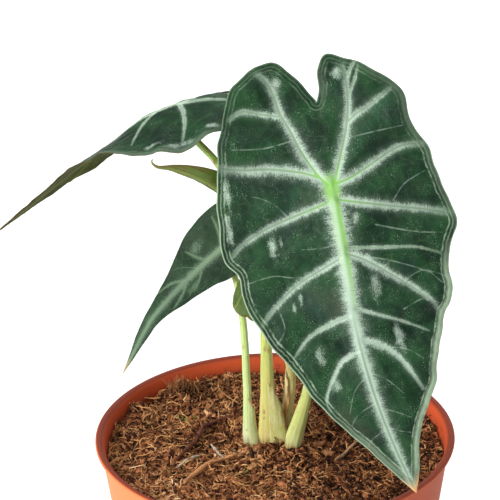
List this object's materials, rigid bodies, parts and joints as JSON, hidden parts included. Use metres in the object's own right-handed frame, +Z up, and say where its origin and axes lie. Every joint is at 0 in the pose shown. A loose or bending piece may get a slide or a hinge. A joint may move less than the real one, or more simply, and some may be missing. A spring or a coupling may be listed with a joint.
{
  "type": "potted alocasia",
  "caption": "Young potted alocasia: arrowhead leaves with pale veins on slender stalks, rising from dark potting mix in a thin tapered nursery pot.",
  "frame": {"origin": "centre of the pot's flat underside, where it stands", "axes": "+Z up through the pot; -Y is the front, which the large leaf faces; +X is the viewer's right"},
  "size_m": [0.1328, 0.105, 0.2058],
  "materials": {
    "pot_plastic": "terracotta orange, smooth with a soft sheen",
    "potting_mix": "crumbly damp peat and coir fibre",
    "rhizome_bark": "rough brown skin",
    "dark_leaf": "velvety dark green with feathered silver veins",
    "soft_leaf": "greyer velvety green with faint pale veins",
    "young_leaf": "waxy olive green, lightly streaked",
    "stalk": "pale green, waxy, with small brown specks",
    "dry_sheath": "dry and papery",
    "bark": "weathered bark",
    "pale_wood": "raw splintered wood"
  },
  "bodies": {
    "root": {"pot": "pot_plastic", "potting_mix": "potting_mix", "rhizome": "rhizome_bark", "front_leaf_blade": "dark_leaf", "left_leaf_blade": "dark_leaf", "middle_leaf_blade": "soft_leaf", "young_leaf_blade": "young_leaf", "front_leaf_petiole": "stalk", "left_leaf_petiole": "stalk", "middle_leaf_petiole": "stalk", "young_leaf_petiole": "stalk", "dry_sheath_middle": "dry_sheath", "dry_sheath_young": "dry_sheath", "bark_twig": "bark", "root_strand": "bark", "side_stick": "bark", "coir_tuft": "bark", "pale_splinter_long": "pale_wood", "pale_splinter_short": "pale_wood", "bark_chip_1": "bark", "bark_chip_2": "bark", "bark_chip_3": "bark", "bark_chip_4": "bark"}
  },
  "joints": []
}
